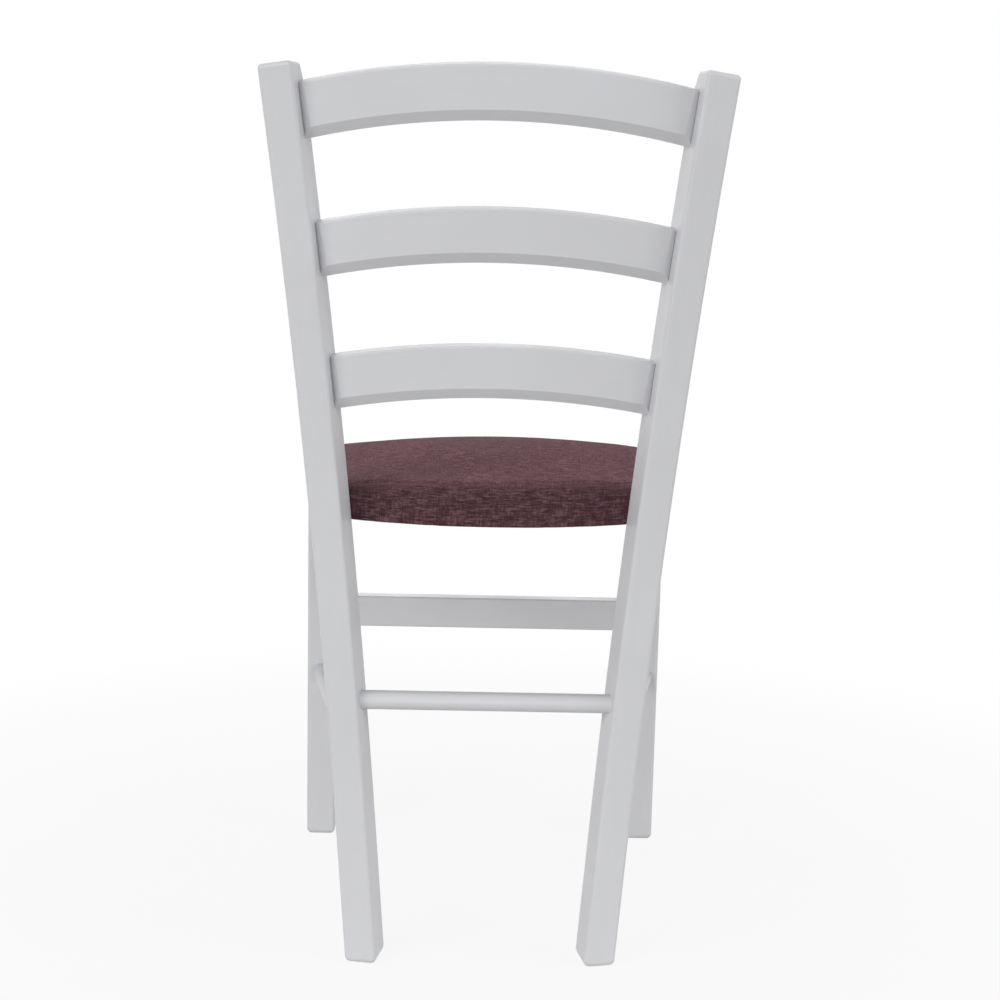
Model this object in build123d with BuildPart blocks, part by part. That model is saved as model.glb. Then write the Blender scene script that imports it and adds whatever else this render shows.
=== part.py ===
"""Upholstered ladder-back dining chair.

Millimetres, +Z up. The chair faces -Y, its left side (the sitter's) is +X, and the origin is on the floor
below the middle of the chair's box.
"""

import os
from math import asin, atan2, cos, radians, sin, sqrt

from build123d import *

# Overall size
overall_depth = 474.7  # front of the pad to the crest of the top slat
post_height = 881.9  # floor to the top of a rear post, at its inner face
foot_half_width = 136.2  # middle of the chair to the outer rear edge of a rear foot
front_half_width = 206.6  # middle of the chair to the outer face of a front leg
frame_top = 448.0  # floor to the top of the front legs and aprons, where the pad rests

# Rear posts: planks turned in plan, splayed outward and swept back above a straight foot
post_width = 31.8
post_depth = 39.8
post_turn = 10.9  # degrees in plan, so that the bent slats enter the inner faces squarely
post_splay = 4.35  # degrees outward
foot_straight = 120.0  # length of the straight foot below the sweep
sweep_radius = 3684.0  # rear edge of the sweep
top_fall = 2.0  # outer edge of the post's top below its inner edge, past square
top_taper_height = 22.0  # front of the post's top, cut back
top_taper_depth = 9.0
top_taper_round = 40.0  # where the cut meets the front face
edge_round = 3.6  # edges of posts and legs
foot_round = 6.5  # edges of their undersides

# Slats: bent in plan, arched in elevation, with a wide bevel under the rear face
slat_drop = 42.8  # along the post, its top to the middle of the top slat's end
slat_pitch_share = 0.3213  # step from slat to slat, as a share of the length above the frame's top
slat_height = 50.8
slat_thickness = 17.0
slat_inset = 13.3  # rear edge of the post to the rear face of a slat's end
slat_arch_radius = 705.0  # middle line of the band
slat_bevel_height = 10.5
slat_bevel_depth = 6.0
slat_end_round = 10.0  # rear edge of each end, beside the post
slat_end_run = 8.0  # along the slat
slat_edge_round = 1.4
slat_tenon_height = 36.0
slat_tenon_thickness = 8.0
slat_tenon_length = 16.0

# Front legs and the flat stretcher between them
leg_side = 33.0
leg_setback = 6.3  # front of the pad to the front of the legs
stretcher_middle = 274.0  # floor to the middle of the stretcher
stretcher_height = 36.0
stretcher_thickness = 20.0
stretcher_round = 2.5
stretcher_tenon_height = 24.0
stretcher_tenon_length = 16.0

# Round rungs
rung_diameter = 19.0
rear_rung_height = 271.0
side_rung_height = 202.0
rung_depth = 14.0  # how far a rung enters its socket
rung_end_chamfer = 1.0

# Aprons under the pad
apron_height = 50.0
apron_thickness = 20.0
apron_round = 2.0
apron_tenon_height = 34.0
apron_tenon_length = 11.0
tenon_thickness = 8.0

# Corner blocks, cleats and screws
block_height = 20.0
block_drop = 2.0  # top of a block or cleat below the top of the aprons
block_leg_reach = 52.0  # along each apron, away from the leg
block_width = 14.0  # across the block's ends
cleat_length = 60.0
cleat_width = 18.0
cleat_rear_gap = 120.0  # rear end of a side apron to its cleat
screw_diameter = 4.0
screw_head_diameter = 8.0
screw_head_height = 2.6
frame_screw_length = 26.0
pad_screw_length = 30.0
cleat_screw_pitch = 34.0
block_screw_reach = 30.0  # along the apron, from the leg to the screw through a block
block_screw_wall = 12.0  # wood of a block under a screw's head
block_notch_gap = 1.0  # between a block's notch and the leg
pad_screw_inset = 14.0  # from the leg's inner corner to the screw that holds the pad
head_clearance = 0.5
head_room = 60.0  # length of the hole that leads a screw's head to its seat

# Seat pad
pad_thickness = 46.0  # underside to crown
pad_side_overhang = 5.4  # beyond the outer faces of the front legs
pad_rear_overhang = 29.0  # rear corners beyond the outer edges of the rear feet
pad_front_bow = 6.0  # the front edge's middle ahead of its corners
pad_rear_radius = 345.0
pad_rear_reach = 2.0  # rear edge of the pad behind the rear faces of the posts' feet
pad_front_corner = 20.0
pad_rear_corner = 14.0
pad_crown_radius = 1350.0
pad_waist_height = 15.0  # underside to the widest line
pad_underside_draw = 5.0  # how far the underside is drawn in
pad_shoulder_draw = 7.0  # how far the sides lean in, at the crown's height
pad_top_round = 11.0
pad_swell = 0.42  # how far the sides round out past the drawn outline
cover_thickness = 1.5
board_thickness = 12.0
staple_gap = 7.1  # inner face of a side apron to the row of staples
turn_under_margin = 5.0  # cover beyond the row of staples
staple_width = 10.0
staple_leg = 6.0
staple_wire = 0.8
staple_spacing = 48.0

# Fits
joint_clearance = 0.15  # round a tenon, rung or screw, on each side
end_clearance = 0.5  # beyond the end of a tenon, rung or screw
soft_clearance = 0.3  # between foam, board and cover

# Directions of the left post
turn = radians(post_turn)
splay = radians(post_splay)
level_outward = Vector(cos(turn), -sin(turn), 0)
rearward = Vector(sin(turn), cos(turn), 0)
vertical = Vector(0, 0, 1)
outward = level_outward * cos(splay) - vertical * sin(splay)
upward = vertical * cos(splay) + level_outward * sin(splay)


post_length = (post_height - post_width * sin(splay)) / cos(splay)
slat_rise = post_length - slat_drop
slat_pitch = slat_pitch_share * (slat_rise - frame_top)


def sweep_angle(rise, inset):
    """Lean of the post's sweep at a height along the post, inset from its rear edge."""
    return asin(max(rise - foot_straight, 0.0) / (sweep_radius + inset))


def profile_point(rise, inset):
    """Point of the post's side profile: (rearward, along the post)."""
    lean = sweep_angle(rise, inset)
    if lean == 0.0:
        return (-inset, rise)
    return (sweep_radius - (sweep_radius + inset) * cos(lean), rise)


def post_offset(rise, inset, across):
    """Point in the left post, from the outer rear edge of its foot; across runs inward."""
    back, along = profile_point(rise, inset)
    return rearward * back + upward * along - outward * across


def post_along(rise, inset):
    """Direction of the post's grain at that height."""
    lean = sweep_angle(rise, inset)
    return rearward * sin(lean) + upward * cos(lean)


def post_front_normal(rise):
    """Direction that the post's front face looks in at that height."""
    lean = sweep_angle(rise, post_depth)
    return upward * sin(lean) - rearward * cos(lean)


# Place of a slat's ends and its bend
slat_middle_inset = slat_inset + slat_thickness / 2


def slat_frame(rise):
    """End point, recline, bend and radii of the slat whose ends are at that height along the post."""
    end = post_offset(rise, slat_middle_inset, post_width) + Vector(foot_half_width, 0, 0)
    along = post_along(rise, slat_middle_inset)
    recline = atan2(along.Y, along.Z)
    slat_rearward = Vector(0, cos(recline), -sin(recline))
    bend = atan2(-outward.dot(slat_rearward), outward.X)
    bend_radius = end.X / sin(bend)
    bow = bend_radius * (1 - cos(bend))
    arch = slat_arch_radius - sqrt(slat_arch_radius**2 - end.X**2)
    return end, recline, bend_radius, bow, arch


top_end, top_recline, _, top_bow, top_arch = slat_frame(slat_rise)
crest_relief = slat_edge_round * (sin(top_recline) + cos(top_recline) - 1)
crest_reach = (
    top_end.Y
    + (top_bow + slat_thickness / 2) * cos(top_recline)
    + (top_arch + slat_height / 2) * sin(top_recline)
    - crest_relief
)
post_y = overall_depth / 2 - crest_reach
post_foot = Vector(foot_half_width, post_y, 0)


def post_rise(height, across):
    """Length along the post that reaches a height above the floor."""
    return (height - across * sin(splay)) / cos(splay)


# Front legs
pad_front_y = -overall_depth / 2 + pad_swell
leg_front_y = pad_front_y + leg_setback
leg_rear_y = leg_front_y + leg_side
leg_middle_x = front_half_width - leg_side / 2
leg_middle_y = leg_front_y + leg_side / 2
leg_inner_x = front_half_width - leg_side

# Rungs
side_rung_rise = post_rise(side_rung_height, post_width / 2)
side_rung_rear = post_foot + post_offset(side_rung_rise, post_depth, post_width / 2)
side_rung_front = Vector(leg_middle_x, leg_rear_y, side_rung_rear.Z)
side_rung_axis = (side_rung_rear - side_rung_front).normalized()
side_rung_span = (side_rung_rear - side_rung_front).length
rear_rung_rise = post_rise(rear_rung_height, post_width)
rear_rung_end = post_foot + post_offset(rear_rung_rise, post_depth / 2, post_width)

# Aprons
apron_middle_z = frame_top - apron_height / 2
apron_rise = post_rise(apron_middle_z, post_width / 2)
side_apron_rear = post_foot + post_offset(apron_rise, post_depth, post_width / 2)
side_apron_front = Vector(leg_middle_x, leg_rear_y, side_apron_rear.Z)
side_apron_axis = (side_apron_rear - side_apron_front).normalized()
side_apron_span = (side_apron_rear - side_apron_front).length
side_apron_inward = side_apron_axis.cross(vertical) * -1
front_apron_rear_y = leg_middle_y + apron_thickness / 2

slat_names = ("top_slat", "middle_slat", "lower_slat")
slat_rises = [slat_rise - slat_pitch * row for row in range(len(slat_names))]

os.makedirs("parts", exist_ok=True)


def save(builder, name):
    """Label a finished piece and write it under its name."""
    builder.part.label = name
    export_step(builder.part, f"parts/{name}.step")


def slat_seat(rise):
    """Plane on the left post's inner face, at the end of a slat, looking into the post."""
    end = post_foot + post_offset(rise, slat_middle_inset, post_width)
    return Plane(end, x_dir=post_along(rise, slat_middle_inset), z_dir=outward)


# Planes at which tenons and rungs enter the left post and leg, looking along the tenon
rear_rung_seat = Plane(rear_rung_end, x_dir=(0, 1, 0), z_dir=(1, 0, 0))
side_rung_post_seat = Plane(side_rung_rear, x_dir=vertical, z_dir=side_rung_axis)
side_rung_leg_seat = Plane(side_rung_front, x_dir=vertical, z_dir=side_rung_axis * -1)
side_apron_post_seat = Plane(side_apron_rear, x_dir=vertical, z_dir=side_apron_axis)
side_apron_leg_seat = Plane(side_apron_front, x_dir=vertical, z_dir=side_apron_axis * -1)
front_apron_seat = Plane((leg_inner_x, leg_middle_y, apron_middle_z), x_dir=vertical, z_dir=(1, 0, 0))
stretcher_seat = Plane((leg_inner_x, leg_middle_y, stretcher_middle), x_dir=vertical, z_dir=(1, 0, 0))

# A socket's cut starts outside the piece, clear of faces that lie askew to it
socket_lead = post_width / 2


def cut_round_socket(seat):
    """Socket of a rung."""
    with BuildSketch(seat.offset(-socket_lead)) as mouth:
        Circle(rung_diameter / 2 + joint_clearance)
    extrude(mouth.sketch, amount=socket_lead + rung_depth + end_clearance, mode=Mode.SUBTRACT)


def cut_mortise(seat, height, thickness, depth):
    """Mortise of a round-ended tenon."""
    with BuildSketch(seat.offset(-socket_lead)) as mouth:
        SlotOverall(height + 2 * joint_clearance, thickness + 2 * joint_clearance)
    extrude(mouth.sketch, amount=socket_lead + depth + end_clearance, mode=Mode.SUBTRACT)


def add_tenon(seat, height, thickness, depth, root):
    """Round-ended tenon, rooted in the piece that it belongs to."""
    with BuildSketch(seat.offset(-root)) as section:
        SlotOverall(height, thickness)
    extrude(section.sketch, amount=root + depth)


# Rear posts
post_outer_face = Plane(post_foot, x_dir=rearward, z_dir=outward)
post_top_cut = Plane(
    post_foot + post_offset(post_length, 0, post_width),
    x_dir=rearward,
    z_dir=upward * post_width + outward * top_fall,
)
below_floor = -post_width

with BuildPart() as rear_post_left:
    with BuildSketch(post_outer_face):
        with BuildLine():
            rear_foot = Line((0, below_floor), profile_point(foot_straight, 0))
            rear_sweep = ThreePointArc(
                rear_foot @ 1,
                profile_point((foot_straight + post_length) / 2, 0),
                profile_point(post_length, 0),
            )
            top = Line(rear_sweep @ 1, profile_point(post_length, post_depth - top_taper_depth))
            taper = Line(top @ 1, profile_point(post_length - top_taper_height, post_depth))
            front_sweep = ThreePointArc(
                taper @ 1,
                profile_point((foot_straight + post_length) / 2, post_depth),
                profile_point(foot_straight, post_depth),
            )
            front_foot = Line(front_sweep @ 1, (-post_depth, below_floor))
            Line(front_foot @ 1, rear_foot @ 0)
        outline = make_face()
        fillet(outline.vertices().sort_by_distance(taper @ 1)[0], top_taper_round)
    extrude(amount=-post_width)
    split(bisect_by=Plane.XY, keep=Keep.TOP)
    split(bisect_by=post_top_cut, keep=Keep.BOTTOM)
    fillet(rear_post_left.edges() - rear_post_left.edges().group_by(Axis.Z)[0], edge_round)
    fillet(rear_post_left.edges().group_by(Axis.Z)[0], foot_round)
    for rise in slat_rises:
        cut_mortise(slat_seat(rise), slat_tenon_height, slat_tenon_thickness, slat_tenon_length)
    cut_round_socket(rear_rung_seat)
    cut_round_socket(side_rung_post_seat)
    cut_mortise(side_apron_post_seat, apron_tenon_height, tenon_thickness, apron_tenon_length)
save(rear_post_left, "rear_post_left")

with BuildPart() as rear_post_right:
    mirror(rear_post_left.part, about=Plane.YZ)
save(rear_post_right, "rear_post_right")

# Slats
for slat_name, rise in zip(slat_names, slat_rises):
    end, recline, bend_radius, bow, arch = slat_frame(rise)
    slat_middle = Vector(0, post_y + end.Y, end.Z)
    slat_up = Vector(0, sin(recline), cos(recline))
    slat_forward = Vector(0, -cos(recline), sin(recline))
    upright = Axis(slat_middle, slat_up)
    backward = Axis(slat_middle, slat_forward * -1)
    seat = slat_seat(rise)
    end_corner = Plane(
        seat.origin - seat.y_dir * slat_thickness / 2, x_dir=outward, z_dir=seat.x_dir
    )
    blank_width = 2 * (end.X + post_width)
    blank_height = 4 * slat_height
    plan = Plane(slat_middle - slat_up * slat_height, x_dir=(1, 0, 0), z_dir=slat_up)
    elevation = Plane(slat_middle - slat_forward * slat_height, x_dir=(1, 0, 0), z_dir=slat_forward)

    with BuildPart() as slat:
        with BuildSketch(plan):
            with Locations((0, bow - bend_radius)):
                Circle(bend_radius + slat_thickness / 2)
                Circle(bend_radius - slat_thickness / 2, mode=Mode.SUBTRACT)
            Rectangle(blank_width, blank_height, mode=Mode.INTERSECT)
        extrude(amount=3 * slat_height)
        with BuildSketch(elevation):
            with Locations((0, arch - slat_arch_radius)):
                Circle(slat_arch_radius + slat_height / 2)
                Circle(slat_arch_radius - slat_height / 2, mode=Mode.SUBTRACT)
            Rectangle(blank_width, blank_height, mode=Mode.INTERSECT)
        extrude(amount=2 * slat_height, mode=Mode.INTERSECT)
        bands = slat.faces().filter_by(GeomType.CYLINDER).sort_by(upright)
        lower_rear_edge = bands[0].edges().sort_by(backward)[-1]
        chamfer(lower_rear_edge, slat_bevel_depth, slat_bevel_height, reference=bands[0])
        bands = slat.faces().filter_by(GeomType.CYLINDER).sort_by(upright)
        lower_front_edge = bands[0].edges().sort_by(backward)[0]
        upper_edges = bands[-1].edges().sort_by(SortBy.LENGTH)[-2:]
        fillet([lower_front_edge, *upper_edges], slat_edge_round)
        split(bisect_by=seat, keep=Keep.BOTTOM)
        split(bisect_by=Plane.YZ, keep=Keep.TOP)
        with BuildSketch(end_corner):
            Rectangle(2 * slat_end_run, 2 * slat_end_round)
            with Locations((-slat_end_run, -slat_end_round)):
                Circle(slat_end_round, mode=Mode.SUBTRACT)
        extrude(amount=slat_height, both=True, mode=Mode.SUBTRACT)
        add_tenon(seat, slat_tenon_height, slat_tenon_thickness, slat_tenon_length, slat_tenon_thickness)
        mirror(about=Plane.YZ)
    save(slat, slat_name)

# Front legs
with BuildPart() as front_leg_left:
    with BuildSketch(Plane.XY):
        with Locations((leg_middle_x, leg_middle_y)):
            Rectangle(leg_side, leg_side)
    extrude(amount=frame_top)
    fillet(front_leg_left.edges().filter_by(Axis.Z), edge_round)
    fillet(front_leg_left.edges().group_by(Axis.Z)[0], foot_round)
    cut_round_socket(side_rung_leg_seat)
    cut_mortise(side_apron_leg_seat, apron_tenon_height, tenon_thickness, apron_tenon_length)
    cut_mortise(front_apron_seat, apron_tenon_height, tenon_thickness, apron_tenon_length)
    cut_mortise(stretcher_seat, stretcher_tenon_height, tenon_thickness, stretcher_tenon_length)
save(front_leg_left, "front_leg_left")

with BuildPart() as front_leg_right:
    mirror(front_leg_left.part, about=Plane.YZ)
save(front_leg_right, "front_leg_right")

# Flat stretcher between the front legs
with BuildPart() as front_stretcher:
    with BuildSketch(stretcher_seat):
        Rectangle(stretcher_height, stretcher_thickness)
    extrude(amount=-2 * leg_inner_x)
    fillet(front_stretcher.edges().filter_by(Axis.X), stretcher_round)
    add_tenon(
        stretcher_seat, stretcher_tenon_height, tenon_thickness, stretcher_tenon_length, tenon_thickness
    )
    mirror(about=Plane.YZ)
save(front_stretcher, "front_stretcher")

# Round rungs
with BuildPart() as rear_rung:
    with BuildSketch(rear_rung_seat.offset(rung_depth)):
        Circle(rung_diameter / 2)
    extrude(amount=-2 * (rear_rung_end.X + rung_depth))
    chamfer(rear_rung.edges().filter_by(GeomType.CIRCLE), rung_end_chamfer)
save(rear_rung, "rear_rung")

with BuildPart() as side_rung_left:
    with BuildSketch(side_rung_leg_seat.offset(rung_depth)):
        Circle(rung_diameter / 2)
    extrude(amount=-(side_rung_span + 2 * rung_depth))
    chamfer(side_rung_left.edges().filter_by(GeomType.CIRCLE), rung_end_chamfer)
save(side_rung_left, "side_rung_left")

with BuildPart() as side_rung_right:
    mirror(side_rung_left.part, about=Plane.YZ)
save(side_rung_right, "side_rung_right")


# Screws, driven along the seat's normal; the seat is the face under the head
def other_side(plane):
    """The plane of a round feature on the chair's other side."""
    origin, normal = plane.origin, plane.z_dir
    return Plane((-origin.X, origin.Y, origin.Z), z_dir=(-normal.X, normal.Y, normal.Z))


def side_apron_point(distance, inward):
    """Point at mid height of the left side apron, from the leg along it and inward of its inner face."""
    return (
        side_apron_front
        + side_apron_axis * distance
        + side_apron_inward * (apron_thickness / 2 + inward)
    )


def at_height(point, height):
    """The same point at another height."""
    return Vector(point.X, point.Y, height)


block_top = frame_top - block_drop
block_bottom = block_top - block_height
block_middle_z = block_top - block_height / 2
cleat_middle = side_apron_span - cleat_rear_gap - cleat_length / 2
block_screw_seats = [
    Plane(
        (leg_inner_x - block_screw_reach, front_apron_rear_y + block_screw_wall, block_middle_z),
        z_dir=(0, -1, 0),
    ),
    Plane(
        at_height(side_apron_point(block_screw_reach, block_screw_wall), block_middle_z),
        z_dir=side_apron_inward * -1,
    ),
]
cleat_screw_seats = [
    Plane(
        at_height(side_apron_point(cleat_middle + shift, cleat_width), block_middle_z),
        z_dir=side_apron_inward * -1,
    )
    for shift in (-cleat_screw_pitch / 2, cleat_screw_pitch / 2)
]
block_pad_screw = Plane((leg_inner_x - pad_screw_inset, leg_rear_y + pad_screw_inset, block_bottom))
cleat_pad_screw = Plane(at_height(side_apron_point(cleat_middle, cleat_width / 2), block_bottom))


def cut_screw_hole(seat, length):
    """Hole of a screw's shank, with room for its head outside the seat."""
    with BuildSketch(seat) as shank:
        Circle(screw_diameter / 2 + joint_clearance)
    extrude(shank.sketch, amount=length + end_clearance, mode=Mode.SUBTRACT)
    with BuildSketch(seat) as head:
        Circle(screw_head_diameter / 2 + head_clearance)
    extrude(head.sketch, amount=-head_room, mode=Mode.SUBTRACT)


def add_screw(seat, length):
    """Pan-head screw."""
    with BuildSketch(seat) as head:
        Circle(screw_head_diameter / 2)
    extrude(head.sketch, amount=-screw_head_height)
    with BuildSketch(seat) as shank:
        Circle(screw_diameter / 2)
    extrude(shank.sketch, amount=length)


# Aprons
with BuildPart() as front_apron:
    with BuildSketch(front_apron_seat):
        Rectangle(apron_height, apron_thickness)
    extrude(amount=-2 * leg_inner_x)
    fillet(front_apron.edges().filter_by(Axis.X).group_by(Axis.Z)[0], apron_round)
    add_tenon(front_apron_seat, apron_tenon_height, tenon_thickness, apron_tenon_length, tenon_thickness)
    mirror(about=Plane.YZ)
    for seat in (block_screw_seats[0], other_side(block_screw_seats[0])):
        cut_screw_hole(seat, frame_screw_length)
save(front_apron, "front_apron")

with BuildPart() as side_apron_left:
    with BuildSketch(side_apron_leg_seat.offset(leg_side)):
        Rectangle(apron_height, apron_thickness)
    extrude(amount=-(leg_side + side_apron_span + post_depth))
    split(bisect_by=Plane((0, leg_rear_y, 0), z_dir=(0, 1, 0)), keep=Keep.TOP)
    split(bisect_by=Plane(side_apron_rear, z_dir=post_front_normal(apron_rise)), keep=Keep.TOP)
    lower_edges = side_apron_left.faces().sort_by(Axis.Z)[0].edges().sort_by(SortBy.LENGTH)[-2:]
    fillet(lower_edges, apron_round)
    for seat in (side_apron_leg_seat, side_apron_post_seat):
        add_tenon(seat, apron_tenon_height, tenon_thickness, apron_tenon_length, apron_thickness)
    for seat in (block_screw_seats[1], *cleat_screw_seats):
        cut_screw_hole(seat, frame_screw_length)
save(side_apron_left, "side_apron_left")

with BuildPart() as side_apron_right:
    mirror(side_apron_left.part, about=Plane.YZ)
save(side_apron_right, "side_apron_right")

# Corner blocks, notched round the front legs
block_end_front = Vector(leg_inner_x - block_leg_reach, front_apron_rear_y)
block_end_side = side_apron_point(block_leg_reach, 0)
block_side_corner = side_apron_point(block_leg_reach, block_width)
block_near_leg = side_apron_point(2 * block_notch_gap, 0)

with BuildPart() as corner_block_left:
    with BuildSketch(Plane.XY.offset(block_bottom)):
        with BuildLine():
            Polyline(
                (leg_inner_x - block_notch_gap, front_apron_rear_y),
                (block_end_front.X, block_end_front.Y),
                (block_end_front.X, block_end_front.Y + block_width),
                (block_side_corner.X, block_side_corner.Y),
                (block_end_side.X, block_end_side.Y),
                (block_near_leg.X, block_near_leg.Y),
                (leg_inner_x - block_notch_gap, block_near_leg.Y),
                close=True,
            )
        make_face()
    extrude(amount=block_height)
    for seat in block_screw_seats:
        cut_screw_hole(seat, frame_screw_length)
    cut_screw_hole(block_pad_screw, pad_screw_length)
save(corner_block_left, "corner_block_left")

with BuildPart() as corner_block_right:
    mirror(corner_block_left.part, about=Plane.YZ)
save(corner_block_right, "corner_block_right")

# Cleats that hold the pad to the side aprons
with BuildPart() as rear_cleat_left:
    with BuildSketch(
        Plane(
            at_height(side_apron_point(cleat_middle, cleat_width / 2), block_bottom),
            x_dir=side_apron_axis,
            z_dir=vertical,
        )
    ):
        Rectangle(cleat_length, cleat_width)
    extrude(amount=block_height)
    for seat in cleat_screw_seats:
        cut_screw_hole(seat, frame_screw_length)
    cut_screw_hole(cleat_pad_screw, pad_screw_length)
save(rear_cleat_left, "rear_cleat_left")

with BuildPart() as rear_cleat_right:
    mirror(rear_cleat_left.part, about=Plane.YZ)
save(rear_cleat_right, "rear_cleat_right")

with BuildPart() as frame_screws:
    for seat in (*block_screw_seats, *cleat_screw_seats):
        add_screw(seat, frame_screw_length)
        add_screw(other_side(seat), frame_screw_length)
save(frame_screws, "frame_screws")

pad_screw_seats = [block_pad_screw, cleat_pad_screw, other_side(block_pad_screw), other_side(cleat_pad_screw)]
with BuildPart() as pad_screws:
    for seat in pad_screw_seats:
        add_screw(seat, pad_screw_length)
save(pad_screws, "pad_screws")

# Seat pad: a crowned form with drawn-in sides, made again at each skin
pad_half_front = front_half_width + pad_side_overhang
pad_half_rear = foot_half_width + pad_rear_overhang
pad_rear_y = post_y + pad_rear_reach
pad_middle_y = (pad_front_y + pad_rear_y) / 2
pad_rear_corner_y = pad_rear_y - pad_rear_radius + sqrt(pad_rear_radius**2 - pad_half_rear**2)
staple_line = pad_side_overhang + (leg_side + apron_thickness) / 2 + staple_gap
turn_under = staple_line + turn_under_margin


def pad_outline(height, inset):
    """Plan of the pad, drawn in by the inset."""
    front = (pad_half_front, pad_front_y + pad_front_bow)
    rear = (pad_half_rear, pad_rear_corner_y)
    with BuildSketch(Plane.XY.offset(height)) as outline:
        with BuildLine():
            ThreePointArc((-front[0], front[1]), (0, pad_front_y), front)
            Line(front, rear)
            ThreePointArc(rear, (0, pad_rear_y), (-rear[0], rear[1]))
            Line((-rear[0], rear[1]), (-front[0], front[1]))
        make_face()
        corners = outline.vertices().sort_by(Axis.Y)
        fillet(corners[:2], pad_front_corner)
        fillet(outline.vertices().sort_by(Axis.Y)[-2:], pad_rear_corner)
        if inset > 0:
            offset(amount=-inset, mode=Mode.REPLACE)
    return outline.sketch


def pad_form(skin):
    """The pad's outer form, with a skin of that thickness taken off all round."""
    levels = (
        (skin, pad_underside_draw),
        (pad_waist_height, 0.0),
        (pad_thickness, pad_shoulder_draw),
    )
    with BuildPart() as form:
        loft([pad_outline(height, draw + skin) for height, draw in levels])
        with Locations((0, pad_middle_y, pad_thickness - pad_crown_radius)):
            Sphere(pad_crown_radius - skin, mode=Mode.INTERSECT)
        rim = form.faces().sort_by(Axis.Z)[-1].edges()
        fillet(rim, pad_top_round - skin)
    return form.part.moved(Location((0, 0, frame_top)))


board_bottom = frame_top + cover_thickness
board_top = board_bottom + board_thickness
board_inset = pad_underside_draw + cover_thickness + soft_clearance

# Staples along the turned-under edge of the cover, their legs in the board
staple_row = pad_outline(frame_top, staple_line).wires()[0]
row_start = staple_row.param_at_point((0, pad_front_y + staple_line, frame_top))
row_end = staple_row.param_at_point((0, pad_rear_y - staple_line, frame_top))
staples_per_side = int(staple_row.length / 2 / staple_spacing)
staple_pitch = (row_end - row_start) / staples_per_side
staple_places = [
    staple_row.location_at(row_start + staple_pitch * (index + 0.5)) for index in range(staples_per_side)
]
leg_shift = (staple_width - staple_wire) / 2


def staple_plane(place, drop):
    """Plane under a staple's place, its X along the row."""
    return Plane(place.position - vertical * drop, x_dir=place.z_axis.direction, z_dir=vertical)


with BuildPart() as staples:
    for place in staple_places:
        with BuildSketch(staple_plane(place, staple_wire)):
            Rectangle(staple_width, staple_wire)
        extrude(amount=staple_wire)
        with BuildSketch(staple_plane(place, staple_wire)):
            with Locations((-leg_shift, 0), (leg_shift, 0)):
                Rectangle(staple_wire, staple_wire)
        extrude(amount=staple_wire + staple_leg)
    mirror(about=Plane.YZ)
save(staples, "staples")

leg_hole = staple_wire + 2 * joint_clearance
with BuildPart() as staple_holes:
    for place in staple_places:
        with BuildSketch(staple_plane(place, staple_wire)):
            with Locations((-leg_shift, 0), (leg_shift, 0)):
                Rectangle(leg_hole, leg_hole)
        extrude(amount=staple_wire + staple_leg + end_clearance)
    mirror(about=Plane.YZ)

with BuildPart() as seat_board:
    extrude(pad_outline(board_bottom, board_inset), amount=board_thickness)
    for seat in pad_screw_seats:
        cut_screw_hole(seat, pad_screw_length)
    add(staple_holes.part, mode=Mode.SUBTRACT)
save(seat_board, "seat_board")

with BuildPart() as seat_foam:
    add(pad_form(cover_thickness + soft_clearance))
    split(bisect_by=Plane.XY.offset(board_top), keep=Keep.TOP)
save(seat_foam, "seat_foam")

with BuildPart() as seat_cover:
    add(pad_form(0.0))
    add(pad_form(cover_thickness), mode=Mode.SUBTRACT)
    extrude(pad_outline(frame_top, turn_under), amount=cover_thickness, mode=Mode.SUBTRACT)
    for seat in pad_screw_seats:
        cut_screw_hole(seat, pad_screw_length)
    add(staple_holes.part, mode=Mode.SUBTRACT)
save(seat_cover, "seat_cover")
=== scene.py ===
"""Dresses the packed ladder-back chair: lacquered frame, woven seat, raw underside and pale stage."""

import math

import bmesh
import bpy
from bpy.props import FloatProperty, FloatVectorProperty, IntProperty, PointerProperty
from mathutils import Matrix, Vector
from mathutils.bvhtree import BVHTree


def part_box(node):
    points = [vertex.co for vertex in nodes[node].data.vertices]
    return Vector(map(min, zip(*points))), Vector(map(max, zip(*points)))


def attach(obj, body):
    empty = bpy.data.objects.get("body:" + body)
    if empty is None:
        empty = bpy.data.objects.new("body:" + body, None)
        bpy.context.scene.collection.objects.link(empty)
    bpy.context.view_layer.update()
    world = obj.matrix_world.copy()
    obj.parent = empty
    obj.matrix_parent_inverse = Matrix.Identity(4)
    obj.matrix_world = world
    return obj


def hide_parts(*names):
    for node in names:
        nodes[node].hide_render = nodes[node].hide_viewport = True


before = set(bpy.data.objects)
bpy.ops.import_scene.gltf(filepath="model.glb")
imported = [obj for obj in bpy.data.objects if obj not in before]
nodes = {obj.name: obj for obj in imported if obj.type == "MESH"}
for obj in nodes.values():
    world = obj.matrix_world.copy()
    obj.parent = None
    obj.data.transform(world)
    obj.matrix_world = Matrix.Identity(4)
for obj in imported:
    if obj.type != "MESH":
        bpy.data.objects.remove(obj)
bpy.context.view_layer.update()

bl_info = {
    "name": "Ladder-back chair",
    "version": (1, 0, 0),
    "blender": (4, 5, 0),
    "location": "View3D > Sidebar > Chair",
    "description": "Finishes the frame, makes the upholstered seat and sets the stage",
    "category": "Object",
}

# Places and sizes from the packed frame
seat_low, seat_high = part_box("seat_cover")
pad_floor = seat_low[2]
pad_middle = (Vector(seat_low) + Vector(seat_high)) / 2
pad_size = Vector(seat_high) - Vector(seat_low)
frame_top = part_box("front_leg_left")[1][2]

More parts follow.
